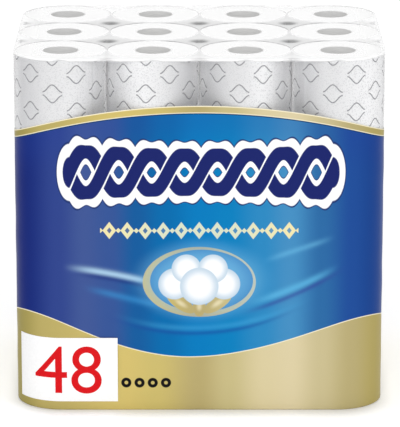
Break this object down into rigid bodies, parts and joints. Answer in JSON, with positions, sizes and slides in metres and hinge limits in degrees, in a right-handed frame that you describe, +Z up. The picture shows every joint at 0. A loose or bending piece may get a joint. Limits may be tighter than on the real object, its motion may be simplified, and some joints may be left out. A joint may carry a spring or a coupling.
{
  "type": "toilet paper roll pack",
  "caption": "Film-wrapped bundle of toilet paper rolls standing on end in columns, rows and layers, with printed film clear at the top.",
  "frame": {"origin": "middle of the underside, on the surface the bundle stands on", "axes": "+X to the right along the longest side (columns of rolls), -Y towards the front (rows), +Z up along the rolls' axes (layers)"},
  "size_m": [0.4046, 0.3038, 0.3935],
  "materials": {
    "tissue": "matte, quilted, white",
    "core_card": "matte grey card",
    "film": "glossy clear polyethylene film, printed blue over gold below an arched gold stripe",
    "label_paper": "smooth white sticker with a plain red number"
  },
  "bodies": {
    "root": {"roll_layer1_row1_column1": "tissue", "roll_layer1_row1_column2": "tissue", "roll_layer1_row1_column3": "tissue", "roll_layer1_row1_column4": "tissue", "roll_layer1_row2_column1": "tissue", "roll_layer1_row2_column2": "tissue", "roll_layer1_row2_column3": "tissue", "roll_layer1_row2_column4": "tissue", "roll_layer1_row3_column1": "tissue", "roll_layer1_row3_column2": "tissue", "roll_layer1_row3_column3": "tissue", "roll_layer1_row3_column4": "tissue", "roll_layer2_row1_column1": "tissue", "roll_layer2_row1_column2": "tissue", "roll_layer2_row1_column3": "tissue", "roll_layer2_row1_column4": "tissue", "roll_layer2_row2_column1": "tissue", "roll_layer2_row2_column2": "tissue", "roll_layer2_row2_column3": "tissue", "roll_layer2_row2_column4": "tissue", "roll_layer2_row3_column1": "tissue", "roll_layer2_row3_column2": "tissue", "roll_layer2_row3_column3": "tissue", "roll_layer2_row3_column4": "tissue", "roll_layer3_row1_column1": "tissue", "roll_layer3_row1_column2": "tissue", "roll_layer3_row1_column3": "tissue", "roll_layer3_row1_column4": "tissue", "roll_layer3_row2_column1": "tissue", "roll_layer3_row2_column2": "tissue", "roll_layer3_row2_column3": "tissue", "roll_layer3_row2_column4": "tissue", "roll_layer3_row3_column1": "tissue", "roll_layer3_row3_column2": "tissue", "roll_layer3_row3_column3": "tissue", "roll_layer3_row3_column4": "tissue", "roll_layer4_row1_column1": "tissue", "roll_layer4_row1_column2": "tissue", "roll_layer4_row1_column3": "tissue", "roll_layer4_row1_column4": "tissue", "roll_layer4_row2_column1": "tissue", "roll_layer4_row2_column2": "tissue", "roll_layer4_row2_column3": "tissue", "roll_layer4_row2_column4": "tissue", "roll_layer4_row3_column1": "tissue", "roll_layer4_row3_column2": "tissue", "roll_layer4_row3_column3": "tissue", "roll_layer4_row3_column4": "tissue", "cores_layer1": "core_card", "cores_layer2": "core_card", "cores_layer3": "core_card", "cores_layer4": "core_card", "film_wrap": "film", "count_label": "label_paper"}
  },
  "joints": []
}
